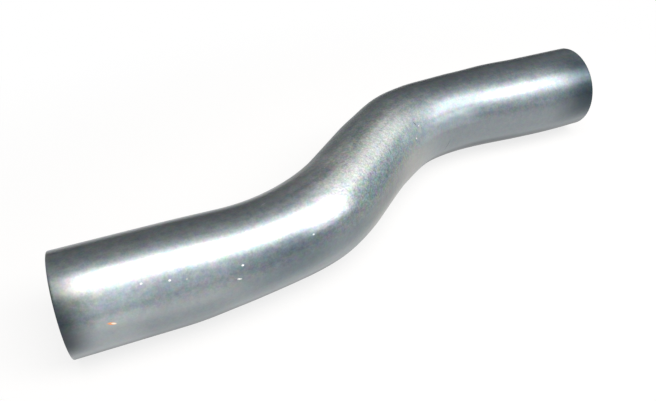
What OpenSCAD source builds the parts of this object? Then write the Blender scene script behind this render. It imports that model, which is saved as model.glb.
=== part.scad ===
// Coolant pipe for a car's radiator: one steel tube with two opposite bends, lying on its side.
// Both ends are cut square and left plain, so that a rubber hose slides over each and is clamped.

/* [Tube] */
// Outside diameter, which the hoses slide over
tube_od = 38; // [25:0.5:60]
// Thickness of the wall where the tube is straight
wall = 1.6; // [1:0.1:4]
// Chamfer that deburring leaves on the inner and outer edge of each cut end
deburr = 0.3; // [0.1:0.05:0.4]

/* [Bends] */
// Radius that both bends are drawn round, measured to the tube's centreline
bend_radius = 85; // [60:1:200]
// Angle of each bend in degrees, equal and opposite, so that the two ends stay parallel
bend_angle = 40.5; // [5:0.5:85]
// How much bending thins the wall, taken from the inner and the outer surface alike
bend_thinning = 0.05; // [0.02:0.01:0.1]

/* [Straight lengths] */
// Straight length from the first end to its bend, where one hose goes
first_leg = 58; // [20:1:200]
// Straight length left between the two bends
middle_run = 22; // [2:1:150]
// Straight length from the second bend to the second end, where the other hose goes
second_leg = 65; // [20:1:200]

/* [Hidden] */
$fn = 96;

outer_r = tube_od / 2;
bore_r = outer_r - wall;

// Each bend carries the centreline this far along the legs and this far sideways
bend_reach = bend_radius * sin(bend_angle);
bend_shift = bend_radius * (1 - cos(bend_angle));

// Length from end to end, and how far the second end stands to the side of the first
overall_length = first_leg + second_leg + 2 * bend_reach + middle_run * cos(bend_angle);
end_offset = 2 * bend_shift + middle_run * sin(bend_angle);

// A bend runs on by this many degrees inside the wall of the stretch before it and after it
lap_angle = 0.4;

// Which way a bend turns
left = 1;
right = -1;

// The tube's section, square to its centreline, thinned by the same amount inside and out
module tube_section(thinned = 0) {
    difference() {
        circle(r = outer_r - thinned);
        circle(r = bore_r + thinned);
    }
}

// A straight leg along +X, with its cut and deburred end at the origin
module cut_end_leg(length) {
    rotate([0, 90, 0])
        rotate_extrude()
            polygon([
                [bore_r + deburr, 0],
                [outer_r - deburr, 0],
                [outer_r, deburr],
                [outer_r, length],
                [bore_r, length],
                [bore_r, deburr]
            ]);
}

// The next four modules each draw one stretch of the tube, from the origin along +X.
// Their children are the rest of the tube, put at the far end and heading the way it goes on.

module first_end(length) {
    cut_end_leg(length);
    translate([length, 0, 0])
        children();
}

module bend(side) {
    start_angle = side == left ? -90 : 90 - bend_angle;
    translate([0, side * bend_radius, 0])
        rotate([0, 0, start_angle - lap_angle])
            rotate_extrude(angle = bend_angle + 2 * lap_angle)
                translate([bend_radius, 0])
                    tube_section(bend_thinning);
    translate([bend_reach, side * bend_shift, 0])
        rotate([0, 0, side * bend_angle])
            children();
}

module straight(length) {
    rotate([90, 0, 90])
        linear_extrude(length)
            tube_section();
    translate([length, 0, 0])
        children();
}

module second_end(length) {
    translate([length, 0, 0])
        mirror([1, 0, 0])
            cut_end_leg(length);
}

// The bends lie in one level plane, and the tube rests on its underside at z = 0
module pipe() {
    color("#9aa3a7")
        translate([-overall_length / 2, -end_offset / 2, outer_r])
            first_end(first_leg)
                bend(left)
                    straight(middle_run)
                        bend(right)
                            second_end(second_leg);
}

pipe();
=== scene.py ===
import math

import bmesh
import bpy
from mathutils import Matrix, Vector


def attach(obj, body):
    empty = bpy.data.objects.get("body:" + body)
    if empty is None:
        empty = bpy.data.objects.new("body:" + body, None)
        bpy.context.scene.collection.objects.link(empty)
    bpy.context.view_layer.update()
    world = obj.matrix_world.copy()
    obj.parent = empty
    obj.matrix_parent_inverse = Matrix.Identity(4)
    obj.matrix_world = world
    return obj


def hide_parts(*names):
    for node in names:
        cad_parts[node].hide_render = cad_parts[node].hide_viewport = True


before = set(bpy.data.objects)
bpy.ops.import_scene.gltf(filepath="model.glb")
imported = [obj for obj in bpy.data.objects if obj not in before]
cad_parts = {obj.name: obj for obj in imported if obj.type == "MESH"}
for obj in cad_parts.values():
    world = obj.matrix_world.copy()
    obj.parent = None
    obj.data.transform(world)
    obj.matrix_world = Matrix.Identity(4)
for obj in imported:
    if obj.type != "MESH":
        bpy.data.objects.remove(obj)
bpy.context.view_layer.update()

# The coolant pipe
# One length of drawn steel tube, cut square, deburred and bent twice round a former.
# It was zinc plated after bending. Sizes are in metres, the same as in the solid.
outer_radius = 0.019
wall = 0.0016
deburr = 0.0003
bend_radius = 0.085
bend_angle = math.radians(40.5)
first_leg = 0.058
middle_run = 0.022
second_leg = 0.065

bend_length = bend_radius * bend_angle
bend_reach = bend_radius * math.sin(bend_angle)
bend_shift = bend_radius * (1 - math.cos(bend_angle))
overall_length = first_leg + second_leg + 2 * bend_reach + middle_run * math.cos(bend_angle)
end_offset = 2 * bend_shift + middle_run * math.sin(bend_angle)

# The centreline's first end, its bends' tangent points and the centres that the bends turn about
along_x = Vector((1, 0, 0))
run_heading = Vector((math.cos(bend_angle), math.sin(bend_angle), 0))
first_end = Vector((-overall_length / 2, -end_offset / 2, outer_radius))
first_bend_start = first_end + along_x * first_leg
first_centre = first_bend_start + Vector((0, bend_radius, 0))
run_start = first_bend_start + Vector((bend_reach, bend_shift, 0))
second_bend_end = run_start + run_heading * middle_run + Vector((bend_reach, bend_shift, 0))
second_centre = second_bend_end - Vector((0, bend_radius, 0))

tube = bmesh.new()
facing_along_x = Matrix.Rotation(math.radians(90), 4, "Y")
bmesh.ops.create_circle(tube, segments=144, radius=outer_radius, cap_ends=False,
                        matrix=Matrix.Translation(first_end) @ facing_along_x)
open_end = list(tube.edges)


def draw_on(edges, heading, steps):
    """Draws the open end of the tube on by each of these steps, and returns its new open edges."""
    for step in steps:
        grown = bmesh.ops.extrude_edge_only(tube, edges=edges)["geom"]
        rim = {part for part in grown if isinstance(part, bmesh.types.BMVert)}
        bmesh.ops.translate(tube, vec=heading * step, verts=list(rim))
        edges = [part for part in grown
                 if isinstance(part, bmesh.types.BMEdge) and rim.issuperset(part.verts)]
    return edges


def bend_on(edges, centre, angle):
    """Bends the open end of the tube on round this centre, and returns its new open edges."""
    rim = list({vert for edge in edges for vert in edge.verts})
    bent = bmesh.ops.spin(tube, geom=rim + edges, cent=centre, axis=(0, 0, 1), angle=angle,
                          steps=40, use_duplicate=False, use_merge=False)
    return [part for part in bent["geom_last"] if isinstance(part, bmesh.types.BMEdge)]


# Rings of points stand about 3 mm apart on the legs, and 2 mm or less from bend to bend.
# The first and the last step are short, so that the edge can be deburred cleanly.
end_step = 0.001
open_end = draw_on(open_end, along_x, [end_step] + [(first_leg - end_step) / 20] * 20)
open_end = bend_on(open_end, first_centre, bend_angle)
open_end = draw_on(open_end, run_heading, [middle_run / 12] * 12)
open_end = bend_on(open_end, second_centre, -bend_angle)
open_end = draw_on(open_end, along_x, [(second_leg - end_step) / 22] * 22 + [end_step])


def before_bending(point):
    """Where a point of the bent tube was on the straight one: along it, to its left and up."""
    height = point.z - outer_radius
    if point.x <= first_bend_start.x:
        return Vector((point.x - first_end.x, point.y - first_end.y, height))
    if point.x >= second_bend_end.x:
        done = first_leg + middle_run + 2 * bend_length
        return Vector((done + point.x - second_bend_end.x, point.y - second_bend_end.y, height))
    spoke = point - first_centre
    turned = math.atan2(spoke.x, -spoke.y)
    if turned <= bend_angle:
        return Vector((first_leg + bend_radius * turned,
                       bend_radius - math.hypot(spoke.x, spoke.y), height))
    spoke = point - second_centre
    still_to_turn = math.atan2(-spoke.x, spoke.y)
    if still_to_turn <= bend_angle:
        return Vector((first_leg + middle_run + 2 * bend_length - bend_radius * still_to_turn,
                       math.hypot(spoke.x, spoke.y) - bend_radius, height))
    from_start = point - run_start
    return Vector((first_leg + bend_length + from_start.dot(run_heading),
                   run_heading.x * from_start.y - run_heading.y * from_start.x, height))


def left_of(distance):
    """The direction square to the centreline, to its left, at this distance along the tube."""
    turned = min(max(distance - first_leg, 0), bend_length)
    turned -= min(max(distance - first_leg - bend_length - middle_run, 0), bend_length)
    return Vector((-math.sin(turned / bend_radius), math.cos(turned / bend_radius), 0))


def swell(distance, middle, half_length):
    """1 at the middle of a stretch of the tube, falling smoothly to 0 at both its ends."""
    reach = abs(distance - middle) / half_length
    return 0.5 + 0.5 * math.cos(math.pi * reach) if reach < 1 else 0.0


def on_side(leftward, upward, degrees):
    """1 on the side of the tube this far round from its top, falling to 0 a quarter turn away."""
    turned = math.radians(degrees)
    return max(math.cos(turned) * upward - math.sin(turned) * leftward, 0) ** 4


# Bending left the middle of the pipe half a millimetre narrower, the first bend narrower still
# on its outer side, and the second bend a little wide of a true arc
narrowed = 0.00053
first_bend_narrowed = 0.00112
narrower_outside = 0.00117
second_bend_wide = 0.0013
first_bend_middle = first_leg + bend_length / 2
second_bend_middle = first_leg + middle_run + 1.5 * bend_length
# Its tools also pressed shallow hollows and swellings into the second bend and the leg after it.
# Each lies this many degrees round from the top and this far along, reaches this far both ways
# and is this deep, about 1 mm at most. The depth of a swelling is negative.
hollows = ((115, 0.160, 0.030, -0.0006), (115, 0.204, 0.026, 0.00105),
           (108, 0.246, 0.028, -0.0008), (-40, 0.164, 0.014, -0.00048),
           (-40, 0.189, 0.014, 0.0003), (-45, 0.220, 0.018, -0.00045))
for vert in tube.verts:
    straight = before_bending(vert.co)
    leftward = straight.y / outer_radius
    upward = straight.z / outer_radius
    inward = narrowed * swell(straight.x, second_bend_middle - 0.023, 0.117)
    inward += ((first_bend_narrowed - narrower_outside * leftward)
               * swell(straight.x, first_bend_middle - 0.017, 0.0325))
    inward -= second_bend_wide * leftward * swell(straight.x, second_bend_middle + 0.003, 0.027)
    for degrees, middle, half_length, depth in hollows:
        inward += (depth * on_side(leftward, upward, degrees)
                   * swell(straight.x, middle, half_length))
    vert.co -= inward * (left_of(straight.x) * leftward + Vector((0, 0, upward)))

# The wall goes inwards from the drawn surface, and both cut ends are deburred inside and out
bmesh.ops.recalc_face_normals(tube, faces=tube.faces)
face_by_the_end = next(iter(tube.faces))
if face_by_the_end.normal.dot(face_by_the_end.calc_center_median() - first_end) < 0:
    bmesh.ops.reverse_faces(tube, faces=tube.faces)
bmesh.ops.solidify(tube, geom=list(tube.faces), thickness=wall)
bmesh.ops.recalc_face_normals(tube, faces=tube.faces)


def on_cut_end(vert):
    """Whether a point lies in the plane of either cut end, within a hundredth of a millimetre."""
    return abs(abs(vert.co.x) - overall_length / 2) < 1e-5


cut_edges = [edge for edge in tube.edges
             if on_cut_end(edge.verts[0]) and on_cut_end(edge.verts[1])
             and any(not all(on_cut_end(vert) for vert in face.verts) for face in edge.link_faces)]
bmesh.ops.bevel(tube, geom=cut_edges, offset=deburr, offset_type="OFFSET", affect="EDGES",
                segments=3, profile=0.5, material=-1, clamp_overlap=True)

# Each point keeps its place on the straight tube, so that the finish follows the bends. The
# outside, the cut ends and the bore have a finish each.
cut_end_finish = 1
bore_finish = 2
place_on_tube = tube.verts.layers.float_vector.new("before_bending")
for vert in tube.verts:
    vert[place_on_tube] = before_bending(vert.co)
for face in tube.faces:
    face.smooth = True
    middle = before_bending(face.calc_center_median())
    outwards = left_of(middle.x) * middle.y + Vector((0, 0, middle.z))
    if abs(face.normal.x) > 0.9 and all(on_cut_end(vert) for vert in face.verts):
        face.material_index = cut_end_finish
    elif face.normal.dot(outwards) < 0:
        face.material_index = bore_finish
pipe_data = bpy.data.meshes.new("pipe_tube")
tube.to_mesh(pipe_data)
tube.free()
pipe = bpy.data.objects.new("pipe_tube", pipe_data)
bpy.context.scene.collection.objects.link(pipe)
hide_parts("pipe")
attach(pipe, "root")


def colour(hex_code):
    """An sRGB hex colour as linear red, green and blue, with an alpha of 1."""
    channels = [int(hex_code[i:i + 2], 16) / 255 for i in (1, 3, 5)]
    return tuple(c / 12.92 if c <= 0.04045 else ((c + 0.055) / 1.055) ** 2.4
                 for c in channels) + (1.0,)


def add(material, kind, settings=None, links=None):
    """Adds a node of this kind with its settings, and links its inputs to other nodes' outputs."""
    node = material.node_tree.nodes.new(kind)
    for name, value in (settings or {}).items():
        if isinstance(name, int) or name in node.inputs:
            node.inputs[name].default_value = value
        else:
            setattr(node, name, value)
    for name, output in (links or {}).items():
        material.node_tree.links.new(output, node.inputs[name])
    return node


# Bright zinc plate with a clear passivate, on drawn steel: a bluish satin mirror that is neutral,
# rougher and sparkles where the steel was stretched in the bends, and a little darker on the
# second leg.
zinc_plate = bpy.data.materials.new("bright_zinc_plate")
zinc_plate.use_nodes = True
shader = zinc_plate.node_tree.nodes["Principled BSDF"]
place = add(zinc_plate, "ShaderNodeAttribute", {"attribute_name": "before_bending"})
distance = add(zinc_plate, "ShaderNodeSeparateXYZ", links={"Vector": place.outputs["Vector"]})


def stretch(material, along, rise, fall):
    """1 between two places along the tube, easing in over one stretch and out over another."""
    ease_in = add(material, "ShaderNodeMapRange", {
        "interpolation_type": "SMOOTHSTEP", "From Min": rise[0], "From Max": rise[1]},
        {"Value": along})
    ease_out = add(material, "ShaderNodeMapRange", {
        "interpolation_type": "SMOOTHSTEP", "From Min": fall[1], "From Max": fall[0]},
        {"Value": along})
    both = add(material, "ShaderNodeMath", {"operation": "MULTIPLY"},
               {0: ease_in.outputs["Result"], 1: ease_out.outputs["Result"]})
    return both.outputs["Value"]


# The way out from the centreline of the straight tube
across_tube = add(zinc_plate, "ShaderNodeVectorMath", {"operation": "MULTIPLY", 1: (0, 1, 1)},
                  {0: place.outputs["Vector"]})
outward_way = add(zinc_plate, "ShaderNodeVectorMath", {"operation": "NORMALIZE"},
                  {0: across_tube.outputs["Vector"]}).outputs["Vector"]


def facing(material, outward, degrees, half_width, full_width):
    """1 on the side of the tube this far round from its top, easing to 0 further round."""
    turned = math.radians(degrees)
    side = add(material, "ShaderNodeVectorMath",
               {"operation": "DOT_PRODUCT", 1: (0, -math.sin(turned), math.cos(turned))},
               {0: outward})
    eased = add(material, "ShaderNodeMapRange", {
        "interpolation_type": "SMOOTHSTEP", "From Min": math.cos(math.radians(half_width)),
        "From Max": math.cos(math.radians(full_width))}, {"Value": side.outputs["Value"]})
    return eased.outputs["Result"]


# The stretch that the bender worked
worked = stretch(zinc_plate, distance.outputs["X"], (0.077, 0.117), (0.131, 0.189))

# Zinc crystals about 0.2 mm across, drawn at 0.7 mm so that they show
crystals = add(zinc_plate, "ShaderNodeTexNoise",
               {"Scale": 1 / 0.0007, "Detail": 3.0, "Roughness": 0.65},
               {"Vector": place.outputs["Vector"]}).outputs["Fac"]
# Clouds of brighter and duller plate, about 4 mm across
clouds = add(zinc_plate, "ShaderNodeTexNoise",
             {"Scale": 1 / 0.004, "Detail": 4.0, "Roughness": 0.6},
             {"Vector": place.outputs["Vector"]}).outputs["Fac"]
# Thin passivate, whose tint drifts from pink to green and gold over about 2 mm
tints = add(zinc_plate, "ShaderNodeTexNoise",
            {"Scale": 1 / 0.002, "Detail": 2.0, "Roughness": 0.6},
            {"Vector": place.outputs["Vector"]}).outputs["Color"]
# Faint lines from the drawing die, about 40 mm long and 1.1 mm apart
stretched = add(zinc_plate, "ShaderNodeMapping", {"Scale": (25, 900, 900)},
                {"Vector": place.outputs["Vector"]})
die_lines = add(zinc_plate, "ShaderNodeTexNoise", {"Scale": 1.0, "Detail": 2.0},
                {"Vector": stretched.outputs["Vector"]}).outputs["Fac"]
# The orange peel that bending raised, about 1.2 mm from crest to crest
peel = add(zinc_plate, "ShaderNodeTexNoise",
           {"Scale": 1 / 0.0012, "Detail": 2.0, "Roughness": 0.5},
           {"Vector": place.outputs["Vector"]}).outputs["Fac"]

# Its colour: the first leg, the darker second leg, and the worked stretch
on_second_leg = add(zinc_plate, "ShaderNodeMapRange", {
    "interpolation_type": "SMOOTHSTEP", "From Min": 0.155, "From Max": 0.190},
    {"Value": distance.outputs["X"]}).outputs["Result"]
plate = add(zinc_plate, "ShaderNodeMix", {
    "data_type": "RGBA", 6: colour("#9fa5a8"), 7: colour("#8b9296")},
    {0: on_second_leg}).outputs[2]
plate = add(zinc_plate, "ShaderNodeMix", {"data_type": "RGBA", 7: colour("#9aa1a2")},
            {0: worked, 6: plate}).outputs[2]

# Patches of other tones, most of them painted light and shade on the reflections. Each eases in
# and out over these stretches of the tube, lies this many degrees round from its top, reaches
# this many to each side and is full this near its middle.
for rise, fall, degrees, half_width, full_width, blend_type, tone in (
        # A painted brighter reflection along the lower side of the worked stretch
        ((0.100, 0.114), (0.146, 0.176), 94, 38, 18, "MIX", "#acadab"),
        # The cooler side of the worked stretch, and its warmer shoulder
        ((0.095, 0.115), (0.150, 0.178), 50, 15, 3, "MIX", "#98a4a7"),
        ((0.095, 0.115), (0.142, 0.165), 11, 15, 3, "MULTIPLY", "#fbf8ea"),
        # A strip painted bright as the lamp's broad highlight, with a duller spot beside it
        ((0.081, 0.114), (0.142, 0.175), 20, 22, 0, "MIX", "#d2d5d3"),
        ((0.098, 0.108), (0.112, 0.124), 42, 15, 4, "MULTIPLY", "#eceeee"),
        # The same painted highlight past the second bend: painted shade at its middle,
        # and a painted brighter band along its lower edge
        ((0.160, 0.175), (0.198, 0.214), 45, 15, 5, "MULTIPLY", "#dfe1e4"),
        ((0.150, 0.166), (0.194, 0.206), 62, 14, 4, "MIX", "#aab1b6"),
        # Painted shade, slightly bluish, along the lower side of the first bend
        ((0.055, 0.080), (0.120, 0.150), 70, 33, 6, "MULTIPLY", "#d8dde0"),
        ((0.046, 0.068), (0.078, 0.096), 76, 44, 14, "MULTIPLY", "#dde1e4"),
        # Brighter plate along the upper side of the first bend, and a painted brighter
        # edge to the highlight on its front side
        ((0.062, 0.085), (0.110, 0.125), -22, 22, 6, "MIX", "#b0b4b5"),
        ((0.106, 0.114), (0.122, 0.132), -2, 20, 5, "MIX", "#b6b8b6"),
        ((0.078, 0.088), (0.096, 0.106), 44, 13, 4, "MIX", "#b2b8bb"),
        # A painted brighter tail of the highlight beside the first end, and painted shade
        # low on the first leg
        ((0.008, 0.014), (0.020, 0.034), 60, 26, 10, "MIX", "#afb5b8"),
        ((0.018, 0.028), (0.046, 0.060), 105, 26, 8, "MULTIPLY", "#e4e6e8"),
        # Painted shade near the second end, along the lower edge of the bright strip
        ((0.228, 0.236), (0.243, 0.252), 55, 12, 4, "MULTIPLY", "#ebebed"),
        # The upper side of the first end, painted faintly yellow to warm the highlight's tip
        ((-0.002, -0.001), (0.006, 0.018), 40, 22, 8, "MULTIPLY", "#fffbf0")):
    along_tube = stretch(zinc_plate, distance.outputs["X"], rise, fall)
    round_tube = facing(zinc_plate, outward_way, degrees, half_width, full_width)
    tone_and_painted_light = add(zinc_plate, "ShaderNodeMath", {"operation": "MULTIPLY"},
                {0: along_tube, 1: round_tube}).outputs["Value"]
    plate = add(zinc_plate, "ShaderNodeMix", {
        "data_type": "RGBA", "blend_type": blend_type, 7: colour(tone)},
        {0: tone_and_painted_light, 6: plate}).outputs[2]

# Painted shade: the underside is darker all round
painted_underside_shade = facing(zinc_plate, outward_way, 180, 70, 52)
plate = add(zinc_plate, "ShaderNodeMix", {
    "data_type": "RGBA", "blend_type": "MULTIPLY", 7: colour("#9a9fa2")},
    {0: painted_underside_shade, 6: plate}).outputs[2]

# The tints and the crystals show most on the rough upper side of the worked stretch, and least
# low on the front, where the plate is even
upper_side = facing(zinc_plate, outward_way, 27, 52, 12)
grainy = add(zinc_plate, "ShaderNodeMath", {"operation": "MULTIPLY"},
             {0: worked, 1: upper_side}).outputs["Value"]
evened = add(zinc_plate, "ShaderNodeMapRange", {"To Min": 1.0, "To Max": 0.4},
             {"Value": facing(zinc_plate, outward_way, 100, 34, 14)}).outputs["Result"]
sparkle = add(zinc_plate, "ShaderNodeMapRange", {"From Min": 0.3, "From Max": 0.7},
              {"Value": crystals}).outputs["Result"]
for pattern, on_legs, where_grainy in (
        (tints, 0.48, 0.66), (sparkle, 0.18, 0.44), (clouds, 0.25, 0.25)):
    strength = add(zinc_plate, "ShaderNodeMapRange", {"To Min": on_legs, "To Max": where_grainy},
                   {"Value": grainy}).outputs["Result"]
    strength = add(zinc_plate, "ShaderNodeMath", {"operation": "MULTIPLY"},
                   {0: strength, 1: evened}).outputs["Value"]
    plate = add(zinc_plate, "ShaderNodeMix", {"data_type": "RGBA", "blend_type": "SOFT_LIGHT"},
                {0: strength, 6: plate, 7: pattern}).outputs[2]

# Both ends are darker and bluish, most on the side facing up and to the front, from this far
# along the tube to this far, and placed round it as the patches are
tube_length = first_leg + middle_run + second_leg + 2 * bend_length
for inner_edge, outer_edge, degrees, half_width, full_width, tone in (
        (0.0118, 0.0, 60, 59, 23, "#7a7f82"),
        (tube_length - 0.028, tube_length - 0.002, 58, 63, 22, "#808b92")):
    near_end = add(zinc_plate, "ShaderNodeMapRange", {
        "interpolation_type": "SMOOTHSTEP", "From Min": inner_edge, "From Max": outer_edge},
        {"Value": distance.outputs["X"]}).outputs["Result"]
    darker_side = facing(zinc_plate, outward_way, degrees, half_width, full_width)
    end_darkening = add(zinc_plate, "ShaderNodeMath", {"operation": "MULTIPLY"},
                {0: near_end, 1: darker_side}).outputs["Value"]
    plate = add(zinc_plate, "ShaderNodeMix", {
        "data_type": "RGBA", "blend_type": "MULTIPLY", 7: colour(tone)},
        {0: end_darkening, 6: plate}).outputs[2]


def spot(along_mm, degrees, length_mm, width_mm, slant):
    """1 on a small oval spot, at a place along the tube and round from its top, fading to 0.

    The spot reaches deep enough to show where bending narrowed the tube, too."""
    half_length, half_width, depth = length_mm / 2000, width_mm / 2000, 0.007
    turned = math.radians(degrees)
    outward = Vector((0, -math.sin(turned), math.cos(turned)))
    lengthwise = Matrix.Rotation(math.radians(slant), 3, outward) @ Vector((1, 0, 0))
    widthwise = outward.cross(lengthwise)
    centre = Vector((along_mm / 1000, 0, 0)) + outward * outer_radius
    turn = Matrix((lengthwise, widthwise, outward)).transposed().to_euler()
    local = add(zinc_plate, "ShaderNodeMapping", {
        "vector_type": "TEXTURE", "Location": centre, "Rotation": turn,
        "Scale": (half_length, half_width, depth)}, {"Vector": place.outputs["Vector"]})
    reach = add(zinc_plate, "ShaderNodeVectorMath", {"operation": "LENGTH"},
                {0: local.outputs["Vector"]})
    cover = add(zinc_plate, "ShaderNodeMapRange", {
        "interpolation_type": "SMOOTHSTEP", "From Min": 1.0, "From Max": 0.4},
        {"Value": reach.outputs["Value"]})
    return cover.outputs["Result"]


# Specks and a short scratch of bare bright metal, and two dark scratches on the second bend
for along_mm, degrees, length_mm, width_mm, slant, mark_colour in (
        (106, -7, 0.7, 0.6, 0, "#d8dcdc"), (75, -9, 3.0, 0.7, 10, "#c4c8ca"),
        (156, 58, 1.4, 1.1, 0, "#ffeef4"), (160.3, 40.5, 2.8, 0.7, -68, "#5c6265"),
        (162, 46, 0.9, 0.7, 0, "#dfe4e4"), (182, 100, 8.9, 0.7, 63, "#75797a")):
    plate = add(zinc_plate, "ShaderNodeMix", {"data_type": "RGBA", 7: colour(mark_colour)},
                {0: spot(along_mm, degrees, length_mm, width_mm, slant), 6: plate}).outputs[2]

# White and pale specks, a pale streak, and an orange scuff with a pale middle.
# None of these is metal, so the plate is metallic only where none of them covers it.
covered = add(zinc_plate, "ShaderNodeMath", {"operation": "MAXIMUM", 0: 0.0, 1: 0.0})
for along_mm, degrees, length_mm, width_mm, slant, mark_colour in (
        (27.1, 45.3, 1.2, 0.9, 0, "#ffffff"), (36, 49.7, 1.2, 0.9, 0, "#ffffff"),
        (60.2, 56, 1.2, 0.9, 0, "#ffffff"), (41.4, 53, 0.8, 0.6, 0, "#c9c6bd"),
        (84.3, 54.5, 1.0, 0.8, 0, "#dfe6e8"), (58.4, 70.5, 2.0, 0.8, -20, "#e9eaea"),
        (15.3, 76.7, 3.6, 1.3, -20, "#ee9f68"), (15.9, 77.2, 2.2, 0.8, -20, "#fff0dc")):
    cover = spot(along_mm, degrees, length_mm, width_mm, slant)
    plate = add(zinc_plate, "ShaderNodeMix", {"data_type": "RGBA", 7: colour(mark_colour)},
                {0: cover, 6: plate}).outputs[2]
    covered = add(zinc_plate, "ShaderNodeMath", {"operation": "MAXIMUM"},
                  {0: covered.outputs["Value"], 1: cover})
bare = add(zinc_plate, "ShaderNodeMath", {"operation": "SUBTRACT", 0: 1.0},
           {1: covered.outputs["Value"]})
zinc_plate.node_tree.links.new(bare.outputs["Value"], shader.inputs["Metallic"])
zinc_plate.node_tree.links.new(plate, shader.inputs["Base Color"])

# Its gloss: satin on the legs, rougher where it was worked, and a little uneven all over
roughness = add(zinc_plate, "ShaderNodeMapRange", {"To Min": 0.345, "To Max": 0.52},
                {"Value": worked}).outputs["Result"]
for pattern, depth in ((clouds, 0.05), (crystals, 0.03), (die_lines, 0.05)):
    change = add(zinc_plate, "ShaderNodeMapRange", {
        "From Min": 0.3, "From Max": 0.7, "To Min": -depth / 2, "To Max": depth / 2},
        {"Value": pattern})
    roughness = add(zinc_plate, "ShaderNodeMath", {"operation": "ADD", "use_clamp": True},
                    {0: roughness, 1: change.outputs["Result"]}).outputs["Value"]
zinc_plate.node_tree.links.new(roughness, shader.inputs["Roughness"])

# Its relief: the orange peel, up to 0.12 mm high, and the crystals over it
peel_depth = add(zinc_plate, "ShaderNodeMapRange", {"To Min": 0.06, "To Max": 1.0},
                 {"Value": worked})
peel_bump = add(zinc_plate, "ShaderNodeBump", {"Distance": 0.00012},
                {"Height": peel, "Strength": peel_depth.outputs["Result"]})
crystal_height = add(zinc_plate, "ShaderNodeMapRange", {"To Min": 0.15, "To Max": 0.7},
                     {"Value": worked})
crystal_bump = add(zinc_plate, "ShaderNodeBump", {"Distance": 0.00003},
                   {"Height": crystals, "Strength": crystal_height.outputs["Result"],
                    "Normal": peel_bump.outputs["Normal"]})
zinc_plate.node_tree.links.new(crystal_bump.outputs["Normal"], shader.inputs["Normal"])
pipe_data.materials.append(zinc_plate)

# The sawn and deburred end faces: bright zinc over fine rings that the cutter left,
# about 0.1 mm apart, drawn at 0.25 mm so that they show.
cut_face = bpy.data.materials.new("zinc_plate_on_cut_end")
cut_face.use_nodes = True
shader = cut_face.node_tree.nodes["Principled BSDF"]
shader.inputs["Metallic"].default_value = 1.0
place = add(cut_face, "ShaderNodeAttribute", {"attribute_name": "before_bending"})
rings = add(cut_face, "ShaderNodeTexWave", {
    "wave_type": "RINGS", "rings_direction": "X", "Scale": math.tau / 20 / 0.00025,
    "Distortion": 1.5, "Detail": 2.0}, {"Vector": place.outputs["Vector"]}).outputs["Fac"]
stains = add(cut_face, "ShaderNodeTexNoise", {"Scale": 1 / 0.0015, "Detail": 3.0},
             {"Vector": place.outputs["Vector"]}).outputs["Fac"]
stained = add(cut_face, "ShaderNodeMapRange", {"From Min": 0.35, "From Max": 0.65},
              {"Value": stains}).outputs["Result"]
cut_colour = add(cut_face, "ShaderNodeMix", {
    "data_type": "RGBA", 6: colour("#8f979b"), 7: colour("#b9bfc1")}, {0: stained}).outputs[2]
cut_colour = add(cut_face, "ShaderNodeMix", {
    "data_type": "RGBA", "blend_type": "SOFT_LIGHT", 0: 0.2},
    {6: cut_colour, 7: rings}).outputs[2]
cut_face.node_tree.links.new(cut_colour, shader.inputs["Base Color"])
cut_roughness = add(cut_face, "ShaderNodeMapRange", {"To Min": 0.32, "To Max": 0.5},
                    {"Value": stains})
cut_face.node_tree.links.new(cut_roughness.outputs["Result"], shader.inputs["Roughness"])
ring_bump = add(cut_face, "ShaderNodeBump", {"Distance": 0.00002, "Strength": 0.7},
                {"Height": rings})
cut_face.node_tree.links.new(ring_bump.outputs["Normal"], shader.inputs["Normal"])
pipe_data.materials.append(cut_face)

# The inside of the tube: the current hardly reaches it, so thin zinc near the ends fades
# into drawn steel, dull with grey oxide, with lines about 33 mm long and 0.8 mm apart.
bore = bpy.data.materials.new("thin_zinc_in_bore")
bore.use_nodes = True
shader = bore.node_tree.nodes["Principled BSDF"]
shader.inputs["Metallic"].default_value = 0.6
place = add(bore, "ShaderNodeAttribute", {"attribute_name": "before_bending"})
distance = add(bore, "ShaderNodeSeparateXYZ", links={"Vector": place.outputs["Vector"]})
deep_inside = stretch(bore, distance.outputs["X"], (0.005, 0.045),
                      (tube_length - 0.045, tube_length - 0.005))
stretched = add(bore, "ShaderNodeMapping", {"Scale": (30, 1250, 1250)},
                {"Vector": place.outputs["Vector"]})
drawn_lines = add(bore, "ShaderNodeTexNoise", {"Scale": 1.0, "Detail": 3.0},
                  {"Vector": stretched.outputs["Vector"]}).outputs["Fac"]
blotches = add(bore, "ShaderNodeTexNoise", {"Scale": 1 / 0.006, "Detail": 4.0},
               {"Vector": place.outputs["Vector"]}).outputs["Fac"]
bore_colour = add(bore, "ShaderNodeMix", {
    "data_type": "RGBA", 6: colour("#b4bbbe"), 7: colour("#8a8d8e")},
    {0: deep_inside}).outputs[2]
for pattern, strength in ((drawn_lines, 0.4), (blotches, 0.35)):
    bore_colour = add(bore, "ShaderNodeMix", {
        "data_type": "RGBA", "blend_type": "SOFT_LIGHT", 0: strength},
        {6: bore_colour, 7: pattern}).outputs[2]
bore.node_tree.links.new(bore_colour, shader.inputs["Base Color"])
bore_roughness = add(bore, "ShaderNodeMapRange", {"To Min": 0.4, "To Max": 0.62},
                     {"Value": drawn_lines})
bore.node_tree.links.new(bore_roughness.outputs["Result"], shader.inputs["Roughness"])
line_bump = add(bore, "ShaderNodeBump", {"Distance": 0.00003, "Strength": 0.5},
                {"Height": drawn_lines})
bore.node_tree.links.new(line_bump.outputs["Normal"], shader.inputs["Normal"])
pipe_data.materials.append(bore)

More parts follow.
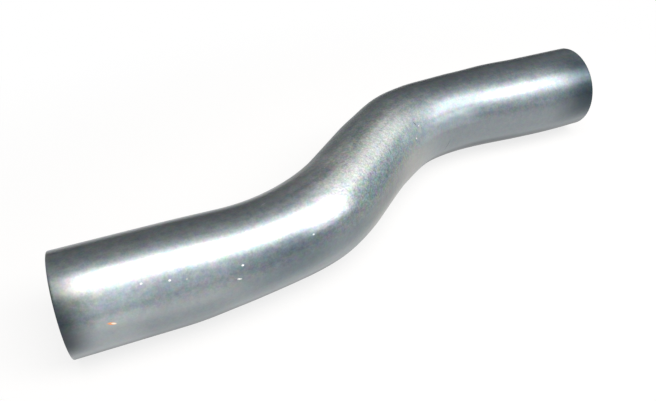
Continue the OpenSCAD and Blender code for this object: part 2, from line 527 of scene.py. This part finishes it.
# Studio: the camera
# It looks down at the pipe from the front left. Its place comes from the pipe's outline: how far
# it stands off, to the left and down from the middle of the pipe, in radii of the tube.
picture_width = 656
focal_pixels = 650.3
sensor_width = 36
turned = math.radians(-21.92)
raised = math.radians(40.37)
radii_off = 14.49
radii_left = 0.8034
radii_down = 0.5962
back = Vector((math.sin(turned) * math.cos(raised), -math.cos(turned) * math.cos(raised),
               math.sin(raised)))
right = Vector((math.cos(turned), math.sin(turned), 0))
down = (-back).cross(right)
camera = bpy.data.objects.new("camera", bpy.data.cameras.new("camera"))
camera.data.lens = focal_pixels / picture_width * sensor_width
camera.data.sensor_width = sensor_width
camera.data.clip_start = 0.01
camera.location = (Vector((0, 0, outer_radius)) + back * (radii_off * outer_radius)
                   - right * (radii_left * outer_radius) + down * (radii_down * outer_radius))
camera.rotation_euler = Matrix((right, -down, back)).transposed().to_euler()
bpy.context.scene.collection.objects.link(camera)
bpy.context.scene.camera = camera
bpy.context.scene.view_settings.view_transform = "Standard"

# Studio: the floor
# A wide sheet of white paper that ends 0.22 m behind the pipe, where the darker room begins.
# The camera and the metal see the paper as white, with a pale shadow, and it fades to pure
# white before its edge, so that the edge doesn't show.
half_sheet = 4
ends_behind = 0.22
below_pipe = 0.0002
floor_mesh = bmesh.new()
bmesh.ops.create_grid(floor_mesh, x_segments=1, y_segments=1, size=half_sheet)
bmesh.ops.translate(floor_mesh, verts=floor_mesh.verts,
                    vec=(0, ends_behind - half_sheet, -below_pipe))
floor_data = bpy.data.meshes.new("floor")
floor_mesh.to_mesh(floor_data)
floor_mesh.free()
floor = bpy.data.objects.new("floor", floor_data)
bpy.context.scene.collection.objects.link(floor)
paper = bpy.data.materials.new("white_paper")
paper.use_nodes = True
shader = paper.node_tree.nodes["Principled BSDF"]
shader.inputs["Base Color"].default_value = colour("#f4f4f3")
shader.inputs["Roughness"].default_value = 0.9
white = add(paper, "ShaderNodeEmission", {"Color": colour("#ffffff"), "Strength": 1.0})
ray = add(paper, "ShaderNodeLightPath")
camera_or_metal = add(paper, "ShaderNodeMath", {"operation": "ADD", "use_clamp": True},
                      {0: ray.outputs["Is Camera Ray"], 1: ray.outputs["Is Glossy Ray"]})
or_glass = add(paper, "ShaderNodeMath", {"operation": "ADD", "use_clamp": True},
               {0: camera_or_metal.outputs["Value"], 1: ray.outputs["Is Transmission Ray"]})
# How far a place is from the middle of the pipe, counted for less along it than across it
from_pipe = add(paper, "ShaderNodeTexCoord")
across = add(paper, "ShaderNodeVectorMath", {"operation": "MULTIPLY", 1: (0.6, 1, 1)},
             {0: from_pipe.outputs["Object"]})
away = add(paper, "ShaderNodeVectorMath", {"operation": "LENGTH"},
           {0: across.outputs["Vector"]})
whiter_away = add(paper, "ShaderNodeMapRange", {
    "interpolation_type": "SMOOTHSTEP", "From Min": 0.08, "From Max": 0.2,
    "To Min": 0.8, "To Max": 1.0}, {"Value": away.outputs["Value"]})
white_share = add(paper, "ShaderNodeMath", {"operation": "MULTIPLY"},
                  {0: or_glass.outputs["Value"], 1: whiter_away.outputs["Result"]})
blend = add(paper, "ShaderNodeMixShader", links={
    0: white_share.outputs["Value"], 1: shader.outputs["BSDF"], 2: white.outputs["Emission"]})
paper.node_tree.links.new(blend.outputs["Shader"],
                          paper.node_tree.nodes["Material Output"].inputs["Surface"])
floor_data.materials.append(paper)

# Studio: the light
# One wide soft box above the pipe, in a pale room that is darker behind the pipe.
soft_box = bpy.data.objects.new("soft_box", bpy.data.lights.new("soft_box", "AREA"))
soft_box.data.shape = "RECTANGLE"
soft_box.data.size = 1.74
soft_box.data.size_y = 0.51
soft_box.data.energy = 15.6
soft_box.data.color = colour("#fffaf6")[:3]
soft_box.location = (0.552, -0.433, 0.773)
soft_box.rotation_euler = (0, 0, math.radians(-16.5))
bpy.context.scene.collection.objects.link(soft_box)

room = bpy.data.worlds.new("room")
room.use_nodes = True
bpy.context.scene.world = room
direction = add(room, "ShaderNodeTexCoord")
towards = add(room, "ShaderNodeSeparateXYZ", links={"Vector": direction.outputs["Generated"]})
backwards = add(room, "ShaderNodeMapRange",
                {"interpolation_type": "SMOOTHSTEP", "From Min": -0.61, "From Max": 0.97},
                {"Value": towards.outputs["Y"]})
walls = add(room, "ShaderNodeValToRGB", links={"Fac": backwards.outputs["Result"]})
walls.color_ramp.elements[0].color = colour("#eef9fe")
walls.color_ramp.elements[1].color = colour("#818486")
low_down = add(room, "ShaderNodeMapRange", {
    "interpolation_type": "SMOOTHSTEP", "From Min": 0.0, "From Max": 0.24, "To Min": 0.31},
    {"Value": towards.outputs["Z"]})
furnished = add(room, "ShaderNodeMix", {
    "data_type": "RGBA", "blend_type": "MULTIPLY", 0: 1.0},
    {6: walls.outputs["Color"], 7: low_down.outputs["Result"]}).outputs[2]
ray = add(room, "ShaderNodeLightPath")
lit_or_reflected = add(room, "ShaderNodeMix", {"data_type": "RGBA", 6: (0.25, 0.25, 0.25, 1)},
                       {0: ray.outputs["Is Glossy Ray"], 7: furnished})
seen = add(room, "ShaderNodeMix", {"data_type": "RGBA", 7: colour("#ffffff")},
           {0: ray.outputs["Is Camera Ray"], 6: lit_or_reflected.outputs[2]})
room.node_tree.links.new(seen.outputs[2], room.node_tree.nodes["Background"].inputs["Color"])
